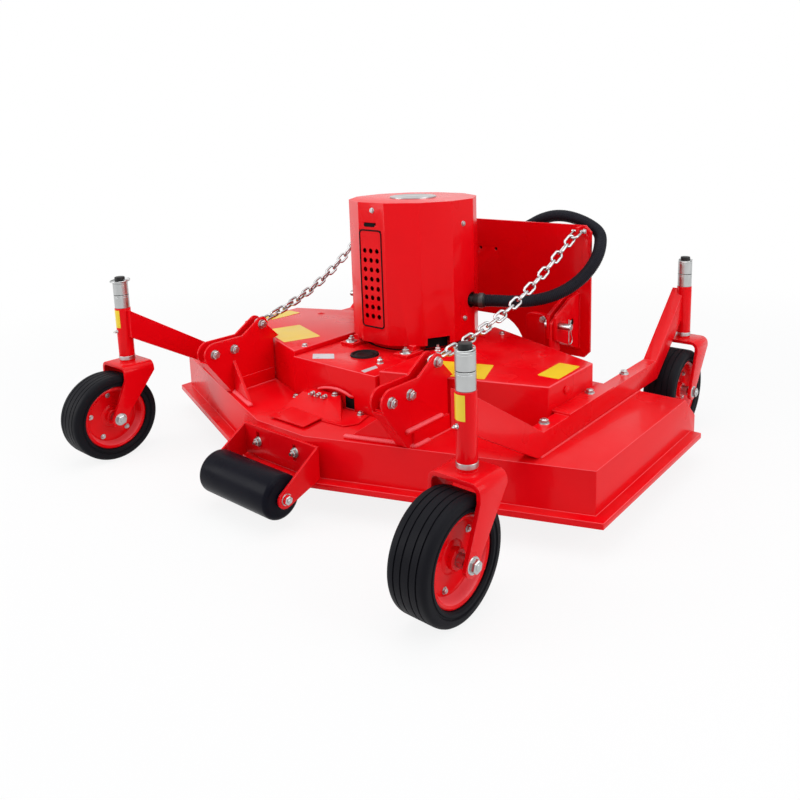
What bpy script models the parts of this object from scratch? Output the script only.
"""Front-mounted rotary mower on four casters, with a hydraulic drive tower.

Metres, +Z up. The floor is Z = 0, the machine is symmetric about X = 0, its
front faces -Y, and Y = 0 is midway along its length.
"""
import math

import bmesh
import bpy
from mathutils import Matrix, Vector

# Clearances
GAP = 0.0003           # between pieces that touch
PIN_PLAY = 0.0006      # radial play of a pin or shaft in its hole

# Casters
WHEELBASE = 1.204      # front swivel axis to rear swivel axis
SWIVEL_X = 0.660
TRAIL = 0.075          # wheel axle ahead of the swivel axis
TYRE_R = 0.131
TYRE_W = 0.100
RIM_R = 0.096
RIM_W = 0.080
HUB_R = 0.024
AXLE_R = 0.008
STEM_R = 0.0140
FORK_PLATE = 0.010
FORK_SPAN = 0.114      # inside width between the fork's cheeks
FORK_TOP_Z = 0.286
FORK_HALF_DEPTH = 0.048
COLLAR_R = 0.0225
COLLAR_H = 0.017
POST_R = 0.0230
POST_TOP_Z = 0.4565
SPACER_R = 0.0222
SPACER_H = 0.0415      # each of the two spacer rings
STEM_TOP_Z = 0.5520

# Deck
DECK_TOP_Z = 0.201
DECK_BOTTOM_Z = 0.075
DECK_HALF_W = 0.800
NOSE_HALF_W = 0.096
NOSE_Y = -0.475
SIDE_FRONT_Y = -0.224
REAR_TOP_Y = 0.332
REAR_Y = 0.413
REAR_KNEE_Z = 0.131
FLANGE_W = 0.030
LIP_H = 0.016
SHEET = 0.005

# Blade rotors under the deck
ROTOR_X = 0.520
ROTOR_SIDE_Y = 0.060
ROTOR_MID_Y = -0.105
BLADE_LENGTH = 0.520
BLADE_W = 0.060
BLADE_T = 0.007
BLADE_Z = 0.098
SPINDLE_R = 0.016
HOUSING_R = 0.045
HOUSING_H = 0.060

# Side rails with the caster arms
RAIL_X = 0.641
RAIL_W = 0.040
RAIL_H = 0.0590
RAIL_FRONT_Y = -0.222
RAIL_REAR_Y = 0.452
ARM_FRONT_TOP_Z = 0.452
ARM_FRONT_H = 0.086
ARM_REAR_TOP_Z = 0.448
ARM_REAR_H = 0.085
STEP_PLATE = (0.6125, 0.0515, -0.098, 0.155)  # inner x, width on the rail, y from, y to

# Chain brackets on the deck
BRACKET_X = 0.350
BRACKET_W = 0.040
BRACKET_PLATE = 0.006
BRACKET_NOSE = (-0.434, 0.337, 0.034)   # y, z, radius about the front bolt
BRACKET_HEAD = (-0.257, 0.392, 0.0225)  # y, z, radius about the chain bolt
BRACKET_BASE = (-0.377, -0.2175)        # y of its front and rear on the deck
BAR_W = 0.050
BAR_H = 0.042
CHAIN_BOLT_R = 0.005

# Belt covers and drive box
BOX_HALF_W = 0.1665
BOX_FRONT_Y = -0.275
BOX_TOP_Z = 0.3198
BOX_REAR_Y = 0.283
COVER_IN_X = 0.173
COVER_OUT_X = 0.612
COVER_IN_Y = (-0.267, 0.294)            # front and rear at its inner side
COVER_OUT_Y = (-0.113, 0.128)           # and at its outer side
COVER_Z = (0.334, 0.331)                # top at its inner and outer side
PLUG_Y = -0.1425
PLUG_R = 0.043

# Motor tower
TOWER_Y = 0.101
TOWER_R = 0.2006
TOWER_SIDES = 12
TOWER_BASE_Z = 0.343
TOWER_TOP_Z = 0.770
TOWER_WALL = 0.004
FOOT_X = 0.1106
FOOT_Y = -0.0813
CAP_R = 0.073
CAP_H = 0.005
MOTOR_R = 0.070
MOTOR_HEADROOM = 0.119  # above the motor, under the lid

# Vent door on the tower's front facet
DOOR_X = -0.0065
DOOR_W = 0.083
DOOR_T = 0.002
DOOR_Z0 = 0.395
DOOR_Z1 = 0.686
VENT_R = 0.0065
VENT_COLUMNS = 3
VENT_ROWS = 8
VENT_STEP_X = 0.0245
VENT_STEP_Z = 0.0285
VENT_BOTTOM_Z = 0.426

# Hitch plate and its hinge
PLATE_Y = 0.403        # front face
PLATE_T = 0.010
PLATE_HALF_W = 0.461
PLATE_Z0 = 0.247
PLATE_Z1 = 0.673
ARCH_HALF_W = 0.218
ARCH_TOP_Z = 0.346
ARCH_R = 0.109
PLATE_FLANGE = 0.057    # depth of the stiffener behind it
FLANGE_X = 0.4195       # middle of the stiffener
HINGE_Y = 0.273
HINGE_Z = 0.378
HINGE_X = 0.407         # centre of the deck lug, between the ears
LUG_T = 0.009
EAR_T = 0.010
EAR_GAP = 0.0025
TAB_X = (0.281, 0.354)  # the broad tab beside the ears
TAB_Y = (0.312, 0.334)
TAB_TOP_Z = 0.395
TAB_R = 0.020
PIN_R = 0.0085
SHACKLE_X = 0.426
SHACKLE_Z = 0.656
SHACKLE_Y = 0.388      # its pin
SHACKLE_REACH = 0.044  # pin to bow
SHACKLE_ROD = 0.0042
SHACKLE_HALF_W = 0.014

# Chains
CHAIN_LINKS = 19
CHAIN_WIRE_R = 0.0040
CHAIN_LINK_W = 0.030   # outer width
CHAIN_SAG = 0.047
CHAIN_BITE = 0.0008    # how far neighbouring links sink into each other

# Front roller
ROLLER_Y = -0.587
ROLLER_Z = 0.088
ROLLER_R = 0.0575
ROLLER_LENGTH = 0.276
ROLLER_AXLE_R = 0.008
ROLLER_ARM_X = 0.150
ROLLER_ARM_T = 0.006
ROLLER_SLOT_X = (-0.088, 0.062)
ROLLER_PLATE_Z0 = 0.098
ROLLER_PLATE_Z1 = 0.186

# Grease manifold on the deck
GREASE_FOOT_Z = DECK_TOP_Z + GAP
GREASE_TOP_Z = 0.2413

# Hydraulic hose
HOSE_R = 0.0195
HOSE_ROUTE = (
    (0.234, 0.1540, 0.4570), (0.268, 0.170, 0.4570), (0.310, 0.192, 0.4560), (0.354, 0.221, 0.4580),
    (0.398, 0.258, 0.4680), (0.438, 0.298, 0.4900), (0.468, 0.340, 0.5230), (0.486, 0.376, 0.5620),
    (0.488, 0.410, 0.6030), (0.466, 0.452, 0.6420), (0.420, 0.466, 0.6690), (0.358, 0.468, 0.6880),
    (0.300, 0.468, 0.6900), (0.248, 0.466, 0.6760), (0.205, 0.464, 0.6540), (0.165, 0.464, 0.6360),
    (0.120, 0.464, 0.6360),
)
HOSE_SMOOTHING = 3     # points put between two route points

WHEEL_Z = TYRE_R
FRONT_SWIVEL_Y = -WHEELBASE / 2 + TRAIL
REAR_SWIVEL_Y = WHEELBASE / 2 + TRAIL
POST_BOTTOM_Z = FORK_TOP_Z + COLLAR_H + GAP

FINISHES = {
    # colour, roughness, metallic
    "paint": ((0.70, 0.006, 0.010, 1), 0.25, 0.0),
    "zinc": ((0.62, 0.62, 0.60, 1), 0.30, 1.0),
    "rubber": ((0.018, 0.018, 0.020, 1), 0.65, 0.0),
    "dark": ((0.020, 0.020, 0.022, 1), 0.45, 0.0),
    "brass": ((0.60, 0.42, 0.16, 1), 0.30, 1.0),
    "steel": ((0.30, 0.30, 0.30, 1), 0.45, 0.8),
}


# Scene and materials

def clear_scene():
    for obj in list(bpy.data.objects):
        bpy.data.objects.remove(obj, do_unlink=True)


def new_collection(name):
    collection = bpy.data.collections.new(name)
    bpy.context.scene.collection.children.link(collection)
    return collection


def material_for(name, finish):
    colour, roughness, metallic = FINISHES[finish]
    material = bpy.data.materials.new(name + "_" + finish)
    material.use_nodes = True
    shader = material.node_tree.nodes["Principled BSDF"]
    shader.inputs["Base Color"].default_value = colour
    shader.inputs["Roughness"].default_value = roughness
    shader.inputs["Metallic"].default_value = metallic
    return material


# Shapes: each returns an object that stands in the parts collection

def object_from(name, bm):
    mesh = bpy.data.meshes.new(name)
    bm.to_mesh(mesh)
    bm.free()
    obj = bpy.data.objects.new(name, mesh)
    PARTS.objects.link(obj)
    return obj


def extruded(name, outline, axis, low, high):
    """A flat outline pushed along X, Y or Z. Its points are the other two coordinates."""
    place = {
        "X": lambda a, b: (low, a, b),
        "Y": lambda a, b: (a, low, b),
        "Z": lambda a, b: (a, b, low),
    }[axis]
    direction = {"X": Vector((1, 0, 0)), "Y": Vector((0, 1, 0)), "Z": Vector((0, 0, 1))}[axis]
    bm = bmesh.new()
    face = bm.faces.new([bm.verts.new(place(a, b)) for a, b in outline])
    grown = bmesh.ops.extrude_face_region(bm, geom=[face], use_keep_orig=True)
    moved = [item for item in grown["geom"] if isinstance(item, bmesh.types.BMVert)]
    bmesh.ops.translate(bm, verts=moved, vec=direction * (high - low))
    bmesh.ops.recalc_face_normals(bm, faces=bm.faces)
    return object_from(name, bm)


def box(name, x, y, z):
    """A block from three (low, high) pairs."""
    bm = bmesh.new()
    bmesh.ops.create_cube(bm, size=1.0)
    sizes = [pair[1] - pair[0] for pair in (x, y, z)]
    middle = [(pair[1] + pair[0]) / 2 for pair in (x, y, z)]
    bm.transform(Matrix.Translation(middle) @ Matrix.Diagonal((*sizes, 1)))
    return object_from(name, bm)


def rod(name, start, end, radius, segments=16, end_radius=None):
    start, end = Vector(start), Vector(end)
    bm = bmesh.new()
    bmesh.ops.create_cone(
        bm, cap_ends=True, segments=segments, radius1=radius,
        radius2=radius if end_radius is None else end_radius, depth=(end - start).length)
    turn = (end - start).to_track_quat("Z", "X").to_matrix().to_4x4()
    bm.transform(Matrix.Translation((start + end) / 2) @ turn)
    return object_from(name, bm)


def turned(name, profile, segments, place=Matrix.Identity(4)):
    """A profile of (radius, height) turned about Z, then placed. A ring's profile is closed."""
    closed = profile[0] == profile[-1]
    points = profile[:-1] if closed else profile
    mesh = bpy.data.meshes.new(name)
    edges = [(i, i + 1) for i in range(len(points) - 1)]
    if closed:
        edges.append((len(points) - 1, 0))
    mesh.from_pydata([(r, 0, z) for r, z in points], edges, [])
    obj = bpy.data.objects.new(name, mesh)
    PARTS.objects.link(obj)
    screw = obj.modifiers.new("Turn", "SCREW")
    screw.steps = segments
    screw.render_steps = segments
    screw.use_merge_vertices = True
    screw.merge_threshold = 0.00001
    make_real(obj)
    obj.data.transform(place)
    return obj


def bent_rod(name, points, radius, resolution=1, cyclic=False):
    """A round bar along straight stretches between points."""
    curve = bpy.data.curves.new(name, "CURVE")
    curve.dimensions = "3D"
    curve.bevel_depth = radius
    curve.bevel_resolution = resolution
    curve.use_fill_caps = True
    spline = curve.splines.new("POLY")
    spline.points.add(len(points) - 1)
    for spot, point in zip(spline.points, points):
        spot.co = (*point, 1)
    spline.use_cyclic_u = cyclic
    obj = bpy.data.objects.new(name, curve)
    PARTS.objects.link(obj)
    return as_mesh(obj)


def as_mesh(obj):
    """The mesh object that a curve object makes, with its caps welded."""
    bpy.context.view_layer.update()
    evaluated = obj.evaluated_get(bpy.context.evaluated_depsgraph_get())
    mesh = bpy.data.meshes.new_from_object(evaluated)
    bm = bmesh.new()
    bm.from_mesh(mesh)
    bmesh.ops.remove_doubles(bm, verts=bm.verts, dist=0.00001)
    bmesh.ops.recalc_face_normals(bm, faces=bm.faces)
    bm.to_mesh(mesh)
    bm.free()
    made = bpy.data.objects.new(obj.name, mesh)
    made.matrix_world = obj.matrix_world
    PARTS.objects.link(made)
    bpy.data.objects.remove(obj, do_unlink=True)
    return made


def make_real(obj):
    """Replaces an object's mesh by what its modifiers make of it."""
    bpy.context.view_layer.update()
    evaluated = obj.evaluated_get(bpy.context.evaluated_depsgraph_get())
    mesh = bpy.data.meshes.new_from_object(evaluated)
    obj.modifiers.clear()
    obj.data = mesh
    return obj


def combined(base, add=(), cut=()):
    """Joins the solids of add to base, then takes those of cut away."""
    for operation, tools in (("UNION", add), ("DIFFERENCE", cut)):
        for tool in tools:
            boolean = base.modifiers.new(tool.name, "BOOLEAN")
            boolean.operation = operation
            boolean.solver = "EXACT"
            boolean.object = tool
    make_real(base)
    for tool in (*add, *cut):
        bpy.data.objects.remove(tool, do_unlink=True)
    return base


def merged(name, objects):
    """One object that holds the separate bodies of several."""
    bm = bmesh.new()
    for obj in objects:
        bm.from_mesh(obj.data)
        bpy.data.objects.remove(obj, do_unlink=True)
    return object_from(name, bm)


def mirrored(obj, name):
    """The same piece on the machine's other side."""
    bm = bmesh.new()
    bm.from_mesh(obj.data)
    bm.transform(Matrix.Diagonal((-1, 1, 1, 1)))
    bmesh.ops.reverse_faces(bm, faces=bm.faces)
    return object_from(name, bm)


def arc(centre, radius, start, end, steps):
    """Points on a circle between two angles in degrees."""
    angles = [math.radians(start + (end - start) * i / steps) for i in range(steps + 1)]
    return [(centre[0] + radius * math.cos(a), centre[1] + radius * math.sin(a)) for a in angles]


def finished(obj, name, finish, pivot=(0, 0, 0), parent=None):
    """Names a piece, gives it its material and puts its origin on its joint axis."""
    obj.name = name
    obj.data.name = name
    obj.data.transform(Matrix.Translation(-Vector(pivot)))
    obj.data.materials.clear()
    obj.data.materials.append(material_for(name, finish))
    obj.location = pivot
    if parent is not None:
        obj.parent = parent
        obj.location = Vector(pivot) - parent.location
    obj.data.shade_smooth()
    obj.data.set_sharp_from_angle(angle=math.radians(30))
    return obj


def pivot_empty(name, place):
    empty = bpy.data.objects.new(name, None)
    empty.empty_display_size = 0.05
    empty.location = place
    PARTS.objects.link(empty)
    return empty


# Deck

def deck_plan(grow):
    """The deck's outline seen from above, its walls moved out by grow."""
    chamfer = math.atan2(SIDE_FRONT_Y - NOSE_Y, DECK_HALF_W - NOSE_HALF_W)
    nose_shift = grow * math.tan(chamfer / 2)
    side_shift = grow * math.tan((math.pi / 2 - chamfer) / 2)
    half = [
        (NOSE_HALF_W + nose_shift, NOSE_Y - grow),
        (DECK_HALF_W + grow, SIDE_FRONT_Y - side_shift),
        (DECK_HALF_W + grow, REAR_Y),
    ]
    return half + [(-x, y) for x, y in reversed(half)]


def rear_wedge(name, inset):
    """What the sloping rear plate leaves off the deck's upper rear edge."""
    outline = [
        (REAR_TOP_Y - inset * 0.6, DECK_TOP_Z + 0.02 - inset),
        (REAR_TOP_Y - inset * 0.6, DECK_TOP_Z - inset),
        (REAR_Y - inset, REAR_KNEE_Z - inset * 0.6),
        (REAR_Y + 0.05, REAR_KNEE_Z - inset * 0.6),
        (REAR_Y + 0.05, DECK_TOP_Z + 0.02 - inset),
    ]
    width = DECK_HALF_W + 0.1
    return extruded(name, outline, "X", -width, width)


def deck_lugs(side):
    """On the deck's rear: the hinge lug between the ears, and a broad round-cornered tab beside it."""
    base_z = DECK_TOP_Z - 0.004
    outline = [(HINGE_Y - 0.034, base_z), (HINGE_Y + 0.036, base_z)] + arc((HINGE_Y, HINGE_Z), 0.021, -10, 190, 9)
    x0 = HINGE_X - LUG_T / 2
    x1 = HINGE_X + LUG_T / 2
    lug = extruded("lug", outline, "X", x0, x1)
    hole = rod("hole", (x0 - 0.01, HINGE_Y, HINGE_Z), (x1 + 0.01, HINGE_Y, HINGE_Z), PIN_R + PIN_PLAY, 20)
    combined(lug, cut=[hole])
    top = (arc((TAB_X[1] - TAB_R, TAB_TOP_Z - TAB_R), TAB_R, 0, 90, 4)
           + arc((TAB_X[0] + TAB_R, TAB_TOP_Z - TAB_R), TAB_R, 90, 180, 4))
    tab = extruded("tab", [(TAB_X[0], base_z + 0.001), (TAB_X[1], base_z + 0.001)] + top, "Y", *TAB_Y)
    return [lug, tab] if side > 0 else [mirrored_tool(lug), mirrored_tool(tab)]


def mirrored_tool(obj):
    other = mirrored(obj, obj.name + "_m")
    bpy.data.objects.remove(obj, do_unlink=True)
    return other


def rotor_places():
    return {
        "left": (-ROTOR_X, ROTOR_SIDE_Y),
        "middle": (0.0, ROTOR_MID_Y),
        "right": (ROTOR_X, ROTOR_SIDE_Y),
    }


def make_deck():
    deck = extruded("deck", deck_plan(0), "Z", DECK_BOTTOM_Z, DECK_TOP_Z)
    combined(deck, cut=[rear_wedge("wedge", 0)])
    flange = extruded("flange", deck_plan(FLANGE_W), "Z", DECK_BOTTOM_Z, DECK_BOTTOM_Z + LIP_H)
    under = extruded("under", deck_plan(FLANGE_W - SHEET), "Z", DECK_BOTTOM_Z - 0.01,
                     DECK_BOTTOM_Z + LIP_H - SHEET)
    behind = box("behind", (-1, 1), (REAR_Y - 0.028, REAR_Y + 0.1), (0, DECK_BOTTOM_Z + LIP_H + 0.01))
    combined(flange, cut=[under, behind])
    hollow = extruded("hollow", deck_plan(-SHEET), "Z", DECK_BOTTOM_Z - 0.01, DECK_TOP_Z - SHEET)
    rear_inside = box("rear_inside", (-1, 1), (REAR_Y - SHEET, REAR_Y + 0.1), (0, DECK_TOP_Z))
    combined(hollow, cut=[rear_wedge("inner_wedge", SHEET), rear_inside])
    combined(deck, add=[flange], cut=[hollow])
    housings = []
    bores = []
    for x, y in rotor_places().values():
        top = DECK_TOP_Z - 0.002
        bottom = DECK_TOP_Z - SHEET - HOUSING_H
        housings.append(rod("housing", (x, y, bottom), (x, y, top), HOUSING_R * 0.75, 20, HOUSING_R))
        bores.append(rod("bore", (x, y, bottom - 0.01), (x, y, bottom + 0.030), SPINDLE_R + PIN_PLAY, 20))
    combined(deck, add=[*housings, *deck_lugs(1), *deck_lugs(-1)], cut=bores)
    finished(deck, "deck", "paint")


def make_rotors():
    """Spindle, boss and a cranked blade with turned-up sails, as one rotor."""
    for name, (x, y) in rotor_places().items():
        half = BLADE_LENGTH / 2
        crank = 0.012
        outline = [
            (-half, BLADE_Z), (-half * 0.45, BLADE_Z), (-half * 0.35, BLADE_Z + crank),
            (half * 0.35, BLADE_Z + crank), (half * 0.45, BLADE_Z), (half, BLADE_Z),
            (half, BLADE_Z + BLADE_T), (half * 0.43, BLADE_Z + BLADE_T),
            (half * 0.33, BLADE_Z + crank + BLADE_T), (-half * 0.33, BLADE_Z + crank + BLADE_T),
            (-half * 0.43, BLADE_Z + BLADE_T), (-half, BLADE_Z + BLADE_T),
        ]
        rotor = extruded("blade", outline, "Y", -BLADE_W / 2, BLADE_W / 2)
        sails = []
        for end in (-1, 1):
            sail = [
                (-end * BLADE_W / 2 * 0.2, BLADE_Z + BLADE_T - 0.001),
                (-end * BLADE_W / 2, BLADE_Z + BLADE_T - 0.001),
                (-end * BLADE_W / 2, BLADE_Z + BLADE_T + 0.018),
                (-end * (BLADE_W / 2 - 0.006), BLADE_Z + BLADE_T + 0.018),
            ]
            near = end * half * 0.97
            far = end * half * 0.70
            sails.append(extruded("sail", sail, "X", min(near, far), max(near, far)))
        housing_bottom = DECK_TOP_Z - SHEET - HOUSING_H
        boss = rod("boss", (0, 0, BLADE_Z + crank - 0.008), (0, 0, housing_bottom - 0.003), 0.040, 20)
        spindle = rod("spindle", (0, 0, BLADE_Z), (0, 0, housing_bottom + 0.028), SPINDLE_R, 20)
        nut = rod("nut", (0, 0, BLADE_Z - 0.012), (0, 0, BLADE_Z + crank), 0.018, 6)
        combined(rotor, add=[*sails, boss, spindle, nut])
        rotor.data.transform(Matrix.Translation((x, y, 0)))
        finished(rotor, "blade_rotor_" + name, "steel", pivot=(x, y, BLADE_Z))


# Side frames: a rail bolted on the deck, two raking arms and the swivel posts

def make_side_frames():
    bottom = DECK_TOP_Z + GAP
    top = bottom + RAIL_H
    front = FRONT_SWIVEL_Y
    rear = REAR_SWIVEL_Y
    outline = [
        (front, ARM_FRONT_TOP_Z), (RAIL_FRONT_Y, top), (RAIL_REAR_Y, top), (rear, ARM_REAR_TOP_Z),
        (rear, ARM_REAR_TOP_Z - ARM_REAR_H), (RAIL_REAR_Y + 0.014, bottom),
        (RAIL_FRONT_Y - 0.022, bottom), (front, ARM_FRONT_TOP_Z - ARM_FRONT_H),
    ]
    frame = extruded("rail", outline, "X", RAIL_X - RAIL_W / 2, RAIL_X + RAIL_W / 2)
    posts = []
    bores = []
    for y in (front, rear):
        posts.append(rod("post", (SWIVEL_X, y, POST_BOTTOM_Z), (SWIVEL_X, y, POST_TOP_Z), POST_R, 24))
        bores.append(rod("bore", (SWIVEL_X, y, POST_BOTTOM_Z - 0.1), (SWIVEL_X, y, POST_TOP_Z + 0.1),
                         STEM_R + PIN_PLAY, 16))
    x0, over, y0, y1 = STEP_PLATE
    plate = box("plate", (x0, x0 + over), (y0, y1), (top - 0.001, top + 0.006))
    combined(frame, add=[*posts, plate], cut=bores)
    other = mirrored(frame, "rail_left")
    finished(frame, "side_frame_right", "paint")
    finished(other, "side_frame_left", "paint")


# Casters

def fork_cheek(side):
    """A cheek that tapers from the fork's top plate down to the axle."""
    axle_y = -TRAIL
    lower = arc((axle_y, WHEEL_Z), 0.026, 190, 370, 8)
    outline = lower + [(FORK_HALF_DEPTH, FORK_TOP_Z - 0.030), (FORK_HALF_DEPTH, FORK_TOP_Z),
                       (-FORK_HALF_DEPTH, FORK_TOP_Z), (-FORK_HALF_DEPTH, FORK_TOP_Z - 0.040)]
    x0 = FORK_SPAN / 2
    x1 = x0 + FORK_PLATE
    cheek = extruded("cheek", outline, "X", x0, x1)
    return cheek if side > 0 else mirrored_tool(cheek)


def fork_crown():
    """The fork's bent strip: top plate with rounded shoulders, without its cheeks' taper."""
    out_x = FORK_SPAN / 2 + FORK_PLATE
    outer_r = 0.022
    inner_r = outer_r - FORK_PLATE
    corner = (out_x - outer_r, FORK_TOP_Z - outer_r)
    outer = arc(corner, outer_r, 90, 0, 5)
    inner = arc(corner, inner_r, 0, 90, 4)
    low = FORK_TOP_Z - 0.028
    right = outer + [(out_x, low), (out_x - FORK_PLATE, low)] + inner
    half = [(0, FORK_TOP_Z)] + right + [(0, FORK_TOP_Z - FORK_PLATE)]
    left = [(-x, z) for x, z in reversed(half)][1:-1]
    return extruded("crown", half + left, "Y", -FORK_HALF_DEPTH, FORK_HALF_DEPTH)


def shoulder_cut(side):
    """Rounds a cheek's square upper corner to the crown's bend."""
    out_x = FORK_SPAN / 2 + FORK_PLATE
    outer_r = 0.022
    bend = arc((out_x - outer_r, FORK_TOP_Z - outer_r), outer_r, 0, 90, 5)
    outline = bend + [(out_x - outer_r, FORK_TOP_Z + 0.01), (out_x + 0.01, FORK_TOP_Z + 0.01),
                      (out_x + 0.01, FORK_TOP_Z - outer_r)]
    cutter = extruded("shoulder", outline, "Y", -0.1, 0.1)
    return cutter if side > 0 else mirrored_tool(cutter)


def fork_shape():
    """Fork, swivel stem, lower collar and axle about a swivel axis at X = Y = 0."""
    cheeks = [fork_cheek(1), fork_cheek(-1)]
    for side, cheek in zip((1, -1), cheeks):
        combined(cheek, cut=[shoulder_cut(side)])
    crown = fork_crown()
    collar = rod("collar", (0, 0, FORK_TOP_Z - 0.002), (0, 0, FORK_TOP_Z + COLLAR_H), COLLAR_R, 24)
    stem = rod("stem", (0, 0, FORK_TOP_Z - 0.004), (0, 0, STEM_TOP_Z), STEM_R, 16)
    reach = FORK_SPAN / 2 + FORK_PLATE + 0.012
    axle = rod("axle", (-reach, -TRAIL, WHEEL_Z), (reach, -TRAIL, WHEEL_Z), AXLE_R, 16)
    heads = []
    for side in (1, -1):
        x0 = side * (FORK_SPAN / 2 + FORK_PLATE - 0.001)
        x1 = side * (FORK_SPAN / 2 + FORK_PLATE + 0.010)
        heads.append(rod("head", (x0, -TRAIL, WHEEL_Z), (x1, -TRAIL, WHEEL_Z), 0.0135, 6))
    return combined(crown, add=[*cheeks, collar, stem, axle, *heads])


def spacer_shape():
    """Two spacer rings on the stem above the post, with the groove between them."""
    inner = STEM_R + PIN_PLAY
    z0 = POST_TOP_Z + GAP
    z1 = z0 + SPACER_H
    z2 = z1 + SPACER_H
    groove = 0.0018
    profile = [
        (inner, z2), (SPACER_R - 0.002, z2), (SPACER_R, z2 - 0.002), (SPACER_R, z1 + groove),
        (SPACER_R - groove, z1), (SPACER_R, z1 - groove), (SPACER_R, z0 + 0.0015),
        (SPACER_R - 0.0015, z0), (inner, z0), (inner, z2),
    ]
    return turned("spacer", profile, 24)


def wheel_place():
    """Turns a profile's axis from Z to X at the caster's axle."""
    return Matrix.Translation((0, -TRAIL, WHEEL_Z)) @ Matrix.Rotation(math.radians(90), 4, "Y")


def rim_shape():
    """A dished disc rim with a rolled edge and a hub that runs between the fork's cheeks."""
    hub = FORK_SPAN / 2 - 0.006
    bore = AXLE_R + PIN_PLAY
    half = RIM_W / 2
    profile = [
        (bore, hub), (HUB_R, hub), (HUB_R, 0.016), (RIM_R * 0.60, 0.014), (RIM_R * 0.76, 0.006),
        (RIM_R * 0.90, half), (RIM_R, half), (RIM_R, -half), (RIM_R * 0.90, -half),
        (RIM_R * 0.76, -0.006), (RIM_R * 0.60, -0.014), (HUB_R, -0.016), (HUB_R, -hub),
        (bore, -hub), (bore, hub),
    ]
    return turned("rim", profile, 24, wheel_place())


def tyre_shape():
    """A solid rubber tyre with rounded shoulders."""
    half = TYRE_W / 2
    inner = RIM_R + GAP
    profile = [
        (inner, half - 0.004), (RIM_R + 0.012, half), (TYRE_R - 0.012, half),
        (TYRE_R - 0.003, half - 0.004), (TYRE_R, half - 0.014), (TYRE_R, -half + 0.014),
        (TYRE_R - 0.003, -half + 0.004), (TYRE_R - 0.012, -half), (RIM_R + 0.012, -half),
        (inner, -half + 0.004), (inner, half - 0.004),
    ]
    return turned("tyre", profile, 24, wheel_place())


def make_casters():
    fork = fork_shape()
    spacer = spacer_shape()
    rim = rim_shape()
    tyre = tyre_shape()
    corners = {
        # swivel axis
        "front_left": (-SWIVEL_X, FRONT_SWIVEL_Y), "front_right": (SWIVEL_X, FRONT_SWIVEL_Y),
        "rear_left": (-SWIVEL_X, REAR_SWIVEL_Y), "rear_right": (SWIVEL_X, REAR_SWIVEL_Y),
    }
    kinds = (
        # shape, node name, finish, height of the piece's origin, turns with the wheel
        (fork, "caster_fork_", "paint", FORK_TOP_Z, False),
        (spacer, "spacer_rings_", "zinc", POST_TOP_Z, False),
        (rim, "wheel_rim_", "paint", WHEEL_Z, True),
        (tyre, "tyre_", "rubber", WHEEL_Z, True),
    )
    for corner, (x, y) in corners.items():
        swivel = pivot_empty("swivel_" + corner, (x, y, 0))
        for shape, prefix, finish, height, on_axle in kinds:
            piece = bpy.data.objects.new(prefix + corner, shape.data.copy())
            PARTS.objects.link(piece)
            piece.data.transform(Matrix.Translation((x, y, 0)))
            origin = (x, y - TRAIL if on_axle else y, height)
            finished(piece, prefix + corner, finish, origin, swivel)
    for shape in (fork, spacer, rim, tyre):
        bpy.data.objects.remove(shape, do_unlink=True)


# Chain brackets

def bracket_profile():
    """Side view of a bracket plate: low round nose, raised round head."""
    nose_y, nose_z, nose_r = BRACKET_NOSE
    head_y, head_z, head_r = BRACKET_HEAD
    base = DECK_TOP_Z + GAP
    front_y, rear_y = BRACKET_BASE
    head = arc((head_y, head_z), head_r, -20, 130, 6)
    nose = arc((nose_y, nose_z), nose_r, 90, 215, 6)
    rear = [(rear_y, base), (rear_y, COVER_Z[0] + 0.003), (-0.194, COVER_Z[0] + 0.008)]
    return rear + head + [(-0.332, nose_z + nose_r)] + nose + [(front_y, base)]


def gusset():
    """The triangular rib from the inner plate forward and down to the deck."""
    base = DECK_TOP_Z + GAP
    in_x = BRACKET_X - BRACKET_W / 2 + 0.002
    points = [
        (in_x, -0.372, base), (0.198, -0.418, base), (in_x, -0.372, base + 0.100),
    ]
    bm = bmesh.new()
    face = bm.faces.new([bm.verts.new(p) for p in points])
    grown = bmesh.ops.extrude_face_region(bm, geom=[face], use_keep_orig=True)
    moved = [item for item in grown["geom"] if isinstance(item, bmesh.types.BMVert)]
    bmesh.ops.translate(bm, verts=moved, vec=(-0.002, 0.008, 0))
    bmesh.ops.recalc_face_normals(bm, faces=bm.faces)
    return object_from("gusset", bm)


def make_brackets():
    outline = bracket_profile()
    plates = []
    for side in (-1, 1):
        x = BRACKET_X + side * (BRACKET_W - BRACKET_PLATE) / 2
        plates.append(extruded("plate", outline, "X", x - BRACKET_PLATE / 2, x + BRACKET_PLATE / 2))
    base = DECK_TOP_Z + GAP
    bar_x = BRACKET_X + 0.003
    bar = box("bar", (bar_x - BAR_W / 2, bar_x + BAR_W / 2), (BRACKET_BASE[0] + 0.014, BRACKET_BASE[1] - 0.003),
              (base, base + BAR_H))
    in_x = BRACKET_X - BRACKET_W / 2 - 0.004
    out_x = BRACKET_X + BRACKET_W / 2 + 0.004
    nose_y, nose_z, nose_r = BRACKET_NOSE
    head_y, head_z, head_r = BRACKET_HEAD
    bolts = [rod("bolt", (in_x, y, z), (out_x, y, z), CHAIN_BOLT_R, 12)
             for y, z in ((nose_y, nose_z), (nose_y + 0.069, nose_z), (head_y, head_z))]
    web = extruded("web", [(-0.3809, 0.2134), (-0.3752, 0.2175), (-0.4507, 0.3208), (-0.4564, 0.3167)], "X",
                   BRACKET_X - 0.0155, BRACKET_X + 0.0155)
    bracket = combined(bar, add=[*plates, gusset(), web, *bolts])
    other = mirrored(bracket, "bracket_left")
    finished(bracket, "chain_bracket_right", "paint")
    finished(other, "chain_bracket_left", "paint")


# Belt covers and drive box

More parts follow.
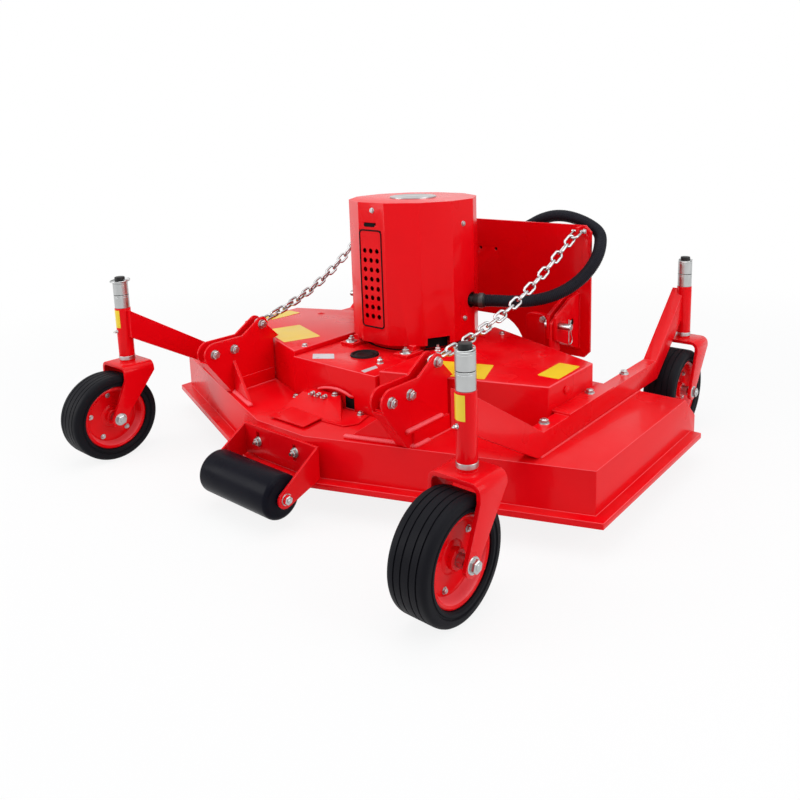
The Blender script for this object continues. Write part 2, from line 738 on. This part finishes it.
def tower_clearance():
    """Room that the covers and the box leave round the tower's skirt."""
    return rod("tower_room", (0, TOWER_Y, DECK_TOP_Z), (0, TOWER_Y, TOWER_TOP_Z), TOWER_R + 0.004, 24)


def make_covers():
    plan = [
        (COVER_IN_X, COVER_IN_Y[0]), (COVER_OUT_X, COVER_OUT_Y[0]),
        (COVER_OUT_X, COVER_OUT_Y[1]), (COVER_IN_X, COVER_IN_Y[1]),
    ]
    base = DECK_TOP_Z + GAP
    cover = extruded("cover", plan, "Z", base, COVER_Z[0] + 0.02)
    above = [
        (COVER_IN_X, COVER_Z[0]), (COVER_OUT_X, COVER_Z[1]), (COVER_OUT_X + 0.1, COVER_Z[1]),
        (COVER_OUT_X + 0.1, COVER_Z[0] + 0.1), (COVER_IN_X - 0.1, COVER_Z[0] + 0.1),
        (COVER_IN_X - 0.1, COVER_Z[0]),
    ]
    roof = extruded("roof", above, "Y", -1, 1)
    combined(cover, cut=[roof, tower_clearance()])
    other = mirrored(cover, "cover_left")
    finished(cover, "belt_cover_right", "paint")
    finished(other, "belt_cover_left", "paint")


def make_drive_box():
    base = DECK_TOP_Z + GAP
    drive_box = box("box", (-BOX_HALF_W, BOX_HALF_W), (BOX_FRONT_Y, BOX_REAR_Y), (base, BOX_TOP_Z))
    plug_hole = rod("plug_hole", (0, PLUG_Y, BOX_TOP_Z - 0.012), (0, PLUG_Y, BOX_TOP_Z + 0.01), PLUG_R, 24)
    tube_hole = box("tube_hole", (0.047, 0.081), (BOX_FRONT_Y - 0.01, BOX_FRONT_Y + 0.03), (0.206, 0.243))
    combined(drive_box, cut=[plug_hole, tube_hole])
    finished(drive_box, "drive_box", "paint")
    plug = turned("plug", [
        (0, BOX_TOP_Z + 0.006), (PLUG_R * 0.8, BOX_TOP_Z + 0.004), (PLUG_R - GAP, BOX_TOP_Z + 0.001),
        (PLUG_R - GAP, BOX_TOP_Z - 0.012 + GAP), (0, BOX_TOP_Z - 0.012 + GAP),
    ], 24, Matrix.Translation((0, PLUG_Y, 0)))
    finished(plug, "box_plug", "rubber")


# Motor tower

def tower_ring(radius):
    """Corners of the twelve-sided tower, a flat side to the front."""
    step = 360 / TOWER_SIDES
    angles = [math.radians(step * (i + 0.5)) for i in range(TOWER_SIDES)]
    return [(radius * math.cos(a), TOWER_Y + radius * math.sin(a)) for a in angles]


def make_tower():
    shell = extruded("shell", tower_ring(TOWER_R), "Z", TOWER_BASE_Z, TOWER_TOP_Z)
    inside = extruded("inside", tower_ring(TOWER_R - TOWER_WALL), "Z",
                      TOWER_BASE_Z + TOWER_WALL, TOWER_TOP_Z - TOWER_WALL)
    skirt = rod("skirt", (0, TOWER_Y, BOX_TOP_Z + GAP), (0, TOWER_Y, TOWER_BASE_Z + 0.002), TOWER_R - 0.045, 24)
    feet = []
    for side in (-1, 1):
        x = side * FOOT_X
        feet.append(box("foot", (x - 0.026, x + 0.026), (FOOT_Y - 0.026, FOOT_Y + 0.05),
                        (BOX_TOP_Z + GAP, BOX_TOP_Z + 0.010)))
        feet.append(box("post", (x - 0.014, x + 0.014), (FOOT_Y + 0.02, FOOT_Y + 0.05),
                        (BOX_TOP_Z + 0.008, TOWER_BASE_Z + 0.002)))
    face_y = TOWER_Y - TOWER_R * math.cos(math.pi / TOWER_SIDES)
    half = DOOR_W / 2
    recess = box("recess", (DOOR_X - half - 0.002, DOOR_X + half + 0.002), (face_y - 0.01, face_y + DOOR_T + GAP),
                 (DOOR_Z0 - 0.002, DOOR_Z1 + 0.002))
    door_hole = box("door_hole", (DOOR_X - half + 0.006, DOOR_X + half - 0.006), (face_y - 0.01, face_y + 0.02),
                    (DOOR_Z0 + 0.006, DOOR_Z1 - 0.006))
    vent = box("vent", (DOOR_X - 0.024, DOOR_X + 0.024), (face_y - 0.01, face_y + 0.02),
               (DOOR_Z1 + 0.016, DOOR_Z1 + 0.024))
    turn = Matrix.Rotation(math.radians(60), 4, "Z")
    slot = box("slot", (-0.036, 0.036), (-TOWER_R - 0.01, -TOWER_R + 0.03),
               (TOWER_BASE_Z - 0.01, TOWER_BASE_Z + 0.022))
    slot.data.transform(Matrix.Translation((0, TOWER_Y, 0)) @ turn)
    hose_hole = rod("hose_hole", (TOWER_R - 0.03, TOWER_Y + 0.040, HOSE_ROUTE[0][2]),
                    (TOWER_R + 0.02, TOWER_Y + 0.040, HOSE_ROUTE[0][2]), 0.024, 20)
    combined(shell, add=[skirt, *feet], cut=[inside, recess, door_hole, vent, slot, hose_hole])
    finished(shell, "tower_housing", "paint")
    cap = turned("cap", [
        (0, TOWER_TOP_Z + CAP_H), (CAP_R - 0.004, TOWER_TOP_Z + CAP_H), (CAP_R, TOWER_TOP_Z + CAP_H * 0.4),
        (CAP_R, TOWER_TOP_Z + GAP), (0, TOWER_TOP_Z + GAP),
    ], 32, Matrix.Translation((0, TOWER_Y, 0)))
    finished(cap, "tower_cap", "zinc")
    floor = TOWER_BASE_Z + TOWER_WALL + GAP
    ceiling = TOWER_TOP_Z - TOWER_WALL
    motor = rod("motor", (0, TOWER_Y, floor), (0, TOWER_Y, ceiling - MOTOR_HEADROOM), MOTOR_R, 20)
    foot = box("motor_foot", (-0.09, 0.09), (TOWER_Y - 0.09, TOWER_Y + 0.09), (floor, floor + 0.02))
    ports = box("ports", (0.0, MOTOR_R + 0.04), (TOWER_Y + 0.015, TOWER_Y + 0.065),
                (HOSE_ROUTE[0][2] - 0.0275, HOSE_ROUTE[0][2] + 0.0275))
    combined(motor, add=[foot, ports])
    finished(motor, "hydraulic_motor", "dark")


def make_vent_door():
    face_y = TOWER_Y - TOWER_R * math.cos(math.pi / TOWER_SIDES)
    outline = []
    for cx, cz, start in ((1, 1, 0), (-1, 1, 90), (-1, -1, 180), (1, -1, 270)):
        centre = (DOOR_X + cx * (DOOR_W / 2 - 0.010), (DOOR_Z0 + DOOR_Z1) / 2 + cz * ((DOOR_Z1 - DOOR_Z0) / 2 - 0.010))
        outline += arc(centre, 0.010, start, start + 90, 3)
    door = extruded("door", outline, "Y", face_y, face_y + DOOR_T)
    holes = []
    for column in range(VENT_COLUMNS):
        for row in range(VENT_ROWS):
            x = DOOR_X + (column - (VENT_COLUMNS - 1) / 2) * VENT_STEP_X
            z = VENT_BOTTOM_Z + row * VENT_STEP_Z
            holes.append(rod("vent", (x, face_y - 0.01, z), (x, face_y + 0.02, z), VENT_R, 8))
    combined(door, cut=[merged("vents", holes)])
    finished(door, "vent_door", "paint")


# Hitch plate

def plate_outline():
    """Front view of the plate: cut lower corners and a round-shouldered opening below."""
    shoulder = arc((ARCH_HALF_W - ARCH_R, ARCH_TOP_Z - ARCH_R), ARCH_R, 0, 90, 7)
    foot = [(PLATE_HALF_W, PLATE_Z0 + 0.020), (PLATE_HALF_W - 0.019, PLATE_Z0), (ARCH_HALF_W, PLATE_Z0)]
    head = [(PLATE_HALF_W - 0.020, PLATE_Z1), (PLATE_HALF_W, PLATE_Z1 - 0.020)]
    half = head + foot + [p for p in shoulder if p[1] > PLATE_Z0 + 0.001]
    return half + [(-x, z) for x, z in reversed(half)]


def make_hitch():
    back = PLATE_Y + PLATE_T
    plate = extruded("plate", plate_outline(), "Y", PLATE_Y, back)
    adds = []
    cuts = []
    for side in (-1, 1):
        edge = side * FLANGE_X
        flange = [
            (PLATE_Y + 0.001, PLATE_Z0 + 0.013), (back + PLATE_FLANGE, PLATE_Z0 + 0.019),
            (back + PLATE_FLANGE, 0.540), (back, 0.620), (PLATE_Y + 0.001, 0.620),
        ]
        adds.append(extruded("flange", flange, "X", edge - PLATE_T / 2, edge + PLATE_T / 2))
        for x0 in ear_places():
            ear = ear_plate(x0)
            adds.append(ear if side > 0 else mirrored_tool(ear))
        bore = rod("bore", (side * (HINGE_X - 0.05), HINGE_Y, HINGE_Z), (side * (HINGE_X + 0.05), HINGE_Y, HINGE_Z),
                   PIN_R + PIN_PLAY, 20)
        cuts.append(rod("spare_hole", (side * HINGE_X, 0.356, 0.371), (side * (HINGE_X + 0.05), 0.356, 0.371),
                        0.0115, 20))
        cuts.append(bore)
        lug = box("shackle_lug", (side * SHACKLE_X - 0.005, side * SHACKLE_X + 0.005),
                  (SHACKLE_Y - 0.009, PLATE_Y + 0.002), (SHACKLE_Z - 0.013, SHACKLE_Z + 0.013))
        adds.append(lug)
        cuts.append(rod("lug_hole", (side * SHACKLE_X - 0.02, SHACKLE_Y, SHACKLE_Z),
                        (side * SHACKLE_X + 0.02, SHACKLE_Y, SHACKLE_Z), SHACKLE_ROD + PIN_PLAY, 12))
        for x in (0.043, 0.106):
            cuts.append(rod("hole", (side * x, PLATE_Y - 0.01, 0.574), (side * x, back + 0.01, 0.574), 0.006, 12))
    top_lip = extruded("top_lip", [
        (back - 0.001, PLATE_Z1 - 0.030), (back - 0.001, PLATE_Z1), (back + 0.022, PLATE_Z1 - 0.022),
        (back + 0.016, PLATE_Z1 - 0.030),
    ], "X", -PLATE_HALF_W + 0.06, -0.20)
    adds.append(top_lip)
    combined(plate, add=adds, cut=cuts)
    finished(plate, "hitch_plate", "paint", pivot=(0, HINGE_Y, HINGE_Z))


def ear_places():
    """Inner faces of the two ears, one on either side of the deck lug."""
    return (HINGE_X - LUG_T / 2 - EAR_GAP - EAR_T, HINGE_X + LUG_T / 2 + EAR_GAP)


def ear_plate(x0):
    """An ear whose foot stands on the plate and whose blunt nose reaches forward round the pin."""
    outline = [
        (PLATE_Y + 0.002, 0.273), (0.257, 0.335), (0.255, 0.341), (0.255, 0.405), (0.260, 0.412),
        (0.344, 0.449), (PLATE_Y + 0.002, 0.457),
    ]
    return extruded("ear", outline, "X", x0, x0 + EAR_T)


def make_hinge_pins():
    inner = ear_places()[0] - 0.001
    outer = ear_places()[1] + EAR_T + 0.043
    for side, name in ((-1, "left"), (1, "right")):
        pin = rod("pin", (side * inner, HINGE_Y, HINGE_Z), (side * outer, HINGE_Y, HINGE_Z), PIN_R, 16)
        head = rod("head", (side * (inner - 0.010), HINGE_Y, HINGE_Z), (side * (inner + 0.0005), HINGE_Y, HINGE_Z),
                   PIN_R + 0.006, 16)
        combined(pin, add=[head])
        finished(pin, "hinge_pin_" + name, "zinc", pivot=(side * HINGE_X, HINGE_Y, HINGE_Z))


# Chains and shackles

def chain_ends():
    """Where the first and the last link's inner ends lie, seen from the side as (y, z)."""
    bolt = Vector((BRACKET_HEAD[0], BRACKET_HEAD[1]))
    bow = Vector(bow_centre())
    slope = Vector((0, CHAIN_SAG * CHAIN_LINKS * math.sin(math.pi / CHAIN_LINKS)))
    first = (bow - bolt - slope).normalized()
    last = (bow - bolt + slope).normalized()
    start = bolt - first * (CHAIN_BOLT_R + GAP + CHAIN_BITE / 2)
    end = bow + last * (SHACKLE_ROD + GAP + CHAIN_BITE / 2)
    return start, end


def bow_centre():
    """The middle of the shackle's bow, a rod across X, as (y, z)."""
    away = Vector((BRACKET_HEAD[0] - SHACKLE_Y, BRACKET_HEAD[1] - SHACKLE_Z)).normalized()
    return (SHACKLE_Y + away.x * SHACKLE_REACH, SHACKLE_Z + away.y * SHACKLE_REACH)


def chain_point(t, side):
    start, end = chain_ends()
    flat = start.lerp(end, t)
    drop = CHAIN_SAG * math.sin(math.pi * t)
    x = BRACKET_X + (SHACKLE_X - BRACKET_X) * t
    return Vector((side * x, flat.x, flat.y - drop))


def link_shape(name, inner_length):
    """One link of square-cornered bar, its long way along Z, flat in the XZ plane."""
    centre_w = CHAIN_LINK_W / 2 - CHAIN_WIRE_R
    straight = inner_length / 2 + CHAIN_WIRE_R - centre_w * math.sin(math.radians(60))
    bm = bmesh.new()
    rings = []
    for turn in (0, 180):
        for corner, facing in ((0, 15), (60, 60), (120, 120), (180, 165)):
            spot = math.radians(corner + turn)
            out = math.radians(facing + turn)
            mitre = CHAIN_WIRE_R / math.cos(math.radians(15 if corner in (0, 180) else 30))
            x = centre_w * math.cos(spot)
            z = centre_w * math.sin(spot) + (straight if turn == 0 else -straight)
            dx = mitre * math.cos(out)
            dz = mitre * math.sin(out)
            rings.append([bm.verts.new(p) for p in (
                (x + dx, 0, z + dz), (x, CHAIN_WIRE_R, z), (x - dx, 0, z - dz), (x, -CHAIN_WIRE_R, z))])
    for i, ring in enumerate(rings):
        after = rings[(i + 1) % len(rings)]
        for j in range(4):
            k = (j + 1) % 4
            bm.faces.new((ring[j], ring[k], after[k], after[j]))
    bmesh.ops.recalc_face_normals(bm, faces=bm.faces)
    return object_from(name, bm)


def chain_shape(side):
    spots = [chain_point(i / CHAIN_LINKS, side) for i in range(CHAIN_LINKS + 1)]
    odd = []
    even = []
    for i in range(CHAIN_LINKS):
        start, end = spots[i], spots[i + 1]
        along = (end - start).normalized()
        across = Vector((1, 0, 0)).cross(along).normalized()
        flat = across if i % 2 == 0 else Vector((1, 0, 0))
        flat = (flat - along * flat.dot(along)).normalized()
        normal = along.cross(flat).normalized()
        turn = Matrix((flat, normal, along)).transposed().to_4x4()
        link = link_shape("link", (end - start).length - CHAIN_BITE)
        link.data.transform(Matrix.Translation((start + end) / 2) @ turn)
        (even if i % 2 == 0 else odd).append(link)
    chain = merged("chain", even)
    return combined(chain, add=[merged("links", odd)])


def make_chains():
    for side, name in ((-1, "left"), (1, "right")):
        pivot = (side * BRACKET_X, BRACKET_HEAD[0], BRACKET_HEAD[1])
        finished(chain_shape(side), "chain_" + name, "zinc", pivot=pivot)
        finished(shackle_shape(side), "shackle_" + name, "zinc", pivot=(0, HINGE_Y, HINGE_Z))


def shackle_shape(side):
    """A bow shackle: its pin through the plate's lug, its bow towards the chain."""
    pin_y = SHACKLE_Y
    bow_y, bow_z = bow_centre()
    x = side * SHACKLE_X
    w = SHACKLE_HALF_W
    toward = Vector((0, bow_y - pin_y, bow_z - SHACKLE_Z)).normalized()
    pin_centre = Vector((x, pin_y, SHACKLE_Z))
    bow_mid = Vector((x, bow_y, bow_z))
    across = Vector((1, 0, 0))
    points = [
        pin_centre - across * w - toward * 0.004,
        pin_centre - across * w + toward * 0.018,
        bow_mid - across * w * 0.55, bow_mid + across * w * 0.55,
        pin_centre + across * w + toward * 0.018,
        pin_centre + across * w - toward * 0.004,
    ]
    bow = bent_rod("bow", points, SHACKLE_ROD, 1)
    reach = w + SHACKLE_ROD + 0.004
    pin = rod("pin", (x - reach, pin_y, SHACKLE_Z), (x + reach, pin_y, SHACKLE_Z), SHACKLE_ROD, 12)
    return combined(bow, add=[pin])


# Front roller

def make_roller():
    axis = Matrix.Translation((0, ROLLER_Y, ROLLER_Z)) @ Matrix.Rotation(math.radians(90), 4, "Y")
    half = ROLLER_LENGTH / 2
    bore = ROLLER_AXLE_R + PIN_PLAY
    edge = 0.014
    upper = [(ROLLER_R - edge + edge * math.cos(math.radians(a)), half - edge + edge * math.sin(math.radians(a)))
             for a in (90, 60, 30, 0)]
    lower = [(r, -z) for r, z in reversed(upper)]
    profile = [(bore, half)] + upper + lower + [(bore, -half), (bore, half)]
    roller = turned("roller", profile, 32, axis)
    finished(roller, "front_roller", "rubber", pivot=(0, ROLLER_Y, ROLLER_Z))


def make_roller_bracket():
    back_y = NOSE_Y - GAP
    front_y = back_y - ROLLER_ARM_T
    plate = box("plate", (-ROLLER_ARM_X, ROLLER_ARM_X), (front_y, back_y), (ROLLER_PLATE_Z0, ROLLER_PLATE_Z1))
    adds = []
    for side in (-1, 1):
        end = arc((ROLLER_Y, ROLLER_Z), 0.024, 140, 290, 7)
        outline = end + [(back_y, ROLLER_PLATE_Z0), (back_y, ROLLER_PLATE_Z1)]
        x0 = ROLLER_ARM_X - ROLLER_ARM_T
        arm = extruded("arm", outline, "X", x0, ROLLER_ARM_X)
        adds.append(arm if side > 0 else mirrored_tool(arm))
        x1 = side * (ROLLER_ARM_X + 0.009)
        adds.append(rod("head", (side * (ROLLER_ARM_X - 0.001), ROLLER_Y, ROLLER_Z), (x1, ROLLER_Y, ROLLER_Z), 0.013, 12))
    adds.append(rod("axle", (-ROLLER_ARM_X, ROLLER_Y, ROLLER_Z), (ROLLER_ARM_X, ROLLER_Y, ROLLER_Z),
                    ROLLER_AXLE_R, 16))
    slots = [box("slot", (x - 0.0065, x + 0.0065), (front_y - 0.01, back_y + 0.01), (0.126, 0.170))
             for x in ROLLER_SLOT_X]
    combined(plate, add=adds, cut=slots)
    finished(plate, "roller_bracket", "paint")


# Grease manifold and hose

def grease_shell(name, inset, drop):
    """The raised part's outside, or its inside when set in, as a hull of its foot and its top."""
    foot = GREASE_FOOT_Z - drop
    top = GREASE_TOP_Z - inset
    corners = [(x, y, foot) for x, y in (
        (-0.109 + inset, -0.378 + inset), (0.048 - inset, -0.372 + inset), (0.106 - inset * 1.6, -0.320),
        (0.104 - inset * 1.6, -0.280 + drop * 2), (-0.104 + inset, -0.280 + drop * 2))]
    corners += [(x, y, top) for x, y in (
        (-0.080 + inset, -0.322 + inset), (0.022 - inset, -0.322 + inset), (0.034 - inset, -0.280 + drop * 2),
        (-0.074 + inset, -0.280 + drop * 2))]
    bm = bmesh.new()
    verts = [bm.verts.new(p) for p in corners]
    bmesh.ops.convex_hull(bm, input=verts)
    bmesh.ops.dissolve_limit(bm, angle_limit=math.radians(1), verts=bm.verts, edges=bm.edges)
    bmesh.ops.recalc_face_normals(bm, faces=bm.faces)
    return object_from(name, bm)


def make_grease_bracket():
    """A pressed sheet, open at its rear, with a flap in front and a bolted foot at its right."""
    base = GREASE_FOOT_Z
    shell = grease_shell("manifold", 0.0, 0.0)
    combined(shell, cut=[grease_shell("inside", 0.0035, 0.010)])
    flap = box("flap", (-0.076, 0.044), (-0.446, -0.3640), (base + 0.0045, base + 0.0085))
    wing = box("wing", (0.054, 0.160), (-0.368, -0.281), (base + 0.0005, base + 0.0040))
    combined(shell, add=[flap, wing])
    finished(shell, "grease_bracket", "paint")


def smooth_route(points, between):
    """Points on a Catmull-Rom curve through the route's points, its two end stretches straight."""
    route = [Vector(p) for p in points]
    smooth = [route[0]]
    for i in range(1, len(route) - 2):
        p0, p1, p2, p3 = route[i - 1:i + 3]
        for step in range(between):
            t = step / between
            smooth.append(0.5 * (2 * p1 + (p2 - p0) * t + (2 * p0 - 5 * p1 + 4 * p2 - p3) * t * t
                                 + (3 * p1 - p0 - 3 * p2 + p3) * t ** 3))
    return smooth + route[-2:]


def make_hose():
    hose = bent_rod("hose", smooth_route(HOSE_ROUTE, HOSE_SMOOTHING), HOSE_R, 3)
    finished(hose, "hydraulic_hose", "rubber")
    first = Vector(HOSE_ROUTE[0])
    second = Vector(HOSE_ROUTE[1])
    back = (first - second).normalized()
    mouth = first + back * GAP
    elbow = rod("boot", mouth, mouth + back * 0.034, 0.0212, 16)
    inner_y = TOWER_Y + 0.040
    spout = rod("spout", (MOTOR_R + 0.04 + GAP, inner_y, first.z), (mouth + back * 0.030), 0.017, 16)
    combined(elbow, add=[spout])
    finished(elbow, "hose_fitting", "dark")
    last = Vector(HOSE_ROUTE[-1])
    end_x = last.x - GAP
    coupler = rod("coupler", (end_x, last.y, last.z), (end_x - 0.070, last.y, last.z), 0.0185, 16)
    foot = box("foot", (end_x - 0.060, end_x - 0.020), (PLATE_Y + PLATE_T + GAP, last.y), (last.z - 0.018, last.z + 0.010))
    combined(coupler, add=[foot])
    finished(coupler, "hose_coupler", "steel", pivot=(0, HINGE_Y, HINGE_Z))


clear_scene()
PARTS = new_collection("front_mower")
make_deck()
make_rotors()
make_side_frames()
make_casters()
make_brackets()
make_covers()
make_drive_box()
make_tower()
make_vent_door()
make_hitch()
make_hinge_pins()
make_chains()
make_roller()
make_roller_bracket()
make_grease_bracket()
make_hose()
